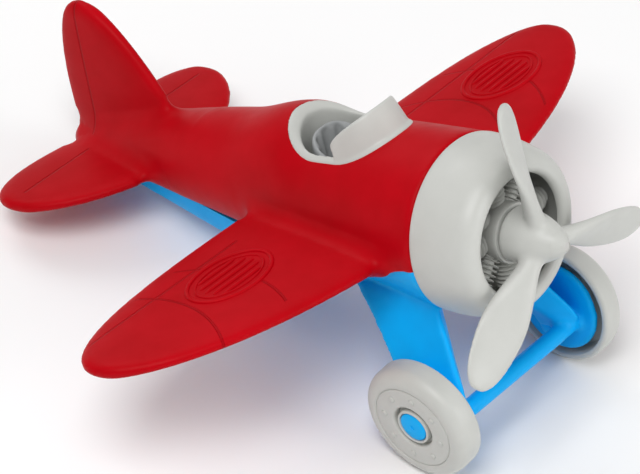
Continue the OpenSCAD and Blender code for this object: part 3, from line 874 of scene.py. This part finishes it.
# Wheels and axle pins.
tyre = {"radius": 22.9, "width": 11.2, "gap": 0.06, "studs": 8, "studAt": 12.7}
back = [(axle["pin"] + tyre["gap"], -9.05), (6.6, -9.05), (7, -8.8), (7.6, -4.6), (9.6, -4.2), (10.6, -2.8),
        (19.2, -2.9), (20, -4.2), (20.4, -10.8), (20.7, -11.1)]
heel = [(tyre["radius"] - 1.5 + 1.5 * cos(radians(a)), 1.5 - tyre["width"] + 1.5 * sin(radians(a)))
        for a in range(-90, 1, 10)]
shoulder = [(tyre["radius"] - 5 + 5 * cos(radians(a)), -5 + 5 * sin(radians(a))) for a in range(0, 91, 6)]
face = [(17.1, 0), (16.85, -0.15), (16.65, -0.5), (16.5, -0.5), (16.3, -0.15), (16, -0.08), (12, -0.06),
        (9.6, -0.06), (9, -0.2), (8.6, -0.55), (8.4, -1.1), (8.35, -3.4), (7.05, -3.4), (7, -0.7),
        (6.85, -0.3), (6.6, -0.12), (6.3, -0.12), (6.05, -0.35), (6, -3), (axle["pin"] + tyre["gap"], -3)]
stud = [(0, -0.6), (1.25, -0.6), (1.25, 0.1), (1.1, 0.4), (0.7, 0.58), (0, 0.62)]
pinProfile = [(0, -18), (axle["pin"], -18), (axle["pin"], -2.9), (5.6, -2.9), (5.7, -2.8), (5.7, -0.75),
              (5.6, -0.5), (5.3, -0.35), (3, -0.24), (0.9, -0.2), (0.8, -0.5), (0.3, -0.55), (0, -0.4)]
for side, label in ((-1, "right"), (1, "left")):
    bm = bmesh.new()
    turned(bm, back + heel + shoulder + face, 128, atWheel(side))
    for i in range(tyre["studs"]):
        angle = radians(360 / tyre["studs"] * i + 14)
        spot = (tyre["studAt"] * cos(angle), tyre["studAt"] * sin(angle), -0.15)
        turned(bm, stud, 24, atWheel(side) @ Matrix.Translation(spot))
    piece = solid(label + "Wheel", bm)
    finishPiece(piece, greyPlastic, "wheel_" + label, "grey_plastic", "wheel_" + label, sharp=50)
    bm = bmesh.new()
    turned(bm, pinProfile, 64, atWheel(side))
    piece = solid(label + "AxlePin", bm)
    finishPiece(piece, bluePlastic, "airframe", "blue_plastic", "axle_pin_" + label, sharp=45)


# Stage, light and camera.
bm = bmesh.new()
bmesh.ops.create_grid(bm, x_segments=2, y_segments=2, size=3)
floor = solid("floor", bm)
paper = bpy.data.materials.new("paper")
paper.use_nodes = True
shader = paper.node_tree.nodes["Principled BSDF"]
shader.inputs["Base Color"].default_value = (0.93, 0.93, 0.93, 1)
shader.inputs["Roughness"].default_value = 0.9
floor.data.materials.append(paper)

world = bpy.data.worlds.new("studio")
scene.world = world
world.use_nodes = True
sky = world.node_tree.nodes["Background"]
sky.inputs["Color"].default_value = (1, 1, 1, 1)
sky.inputs["Strength"].default_value = 0.41

lamps = {"key": ((-0.75, -0.25, 1.5), 0.8, 15.5),      # place, width and watts
         "front": ((0.5, -1.6, 0.7), 0.9, 10.5),
         "back": ((0.3, 1.3, 1.3), 1.0, 7.5)}
for name, (where, size, power) in lamps.items():
    light = bpy.data.lights.new(name, "AREA")
    light.size = size
    light.energy = power
    lamp = bpy.data.objects.new(name, light)
    scene.collection.objects.link(lamp)
    facing = (Vector(where) - Vector((0, 0, 0.06))).to_track_quat("Z", "Y")
    lamp.matrix_world = Matrix.Translation(where) @ facing.to_matrix().to_4x4()

view = {"place": (-0.6883, -0.5596, 0.8220),
        "right": (0.6508, -0.7581, 0.0410), "up": (0.4883, 0.4594, 0.7420), "lens": 176.95, "sensor": 36}
camera = bpy.data.objects.new("camera", bpy.data.cameras.new("camera"))
scene.collection.objects.link(camera)
camera.data.lens = view["lens"]
camera.data.sensor_width = view["sensor"]
camera.data.clip_start = 0.01
right, upward = Vector(view["right"]).normalized(), Vector(view["up"]).normalized()
backward = right.cross(upward).normalized()
upward = backward.cross(right)
facing = Matrix((right, upward, backward)).transposed().to_4x4()
camera.matrix_world = Matrix.Translation(view["place"]) @ facing
scene.camera = camera
scene.view_settings.view_transform = "Standard"
print("stage, light and camera done")
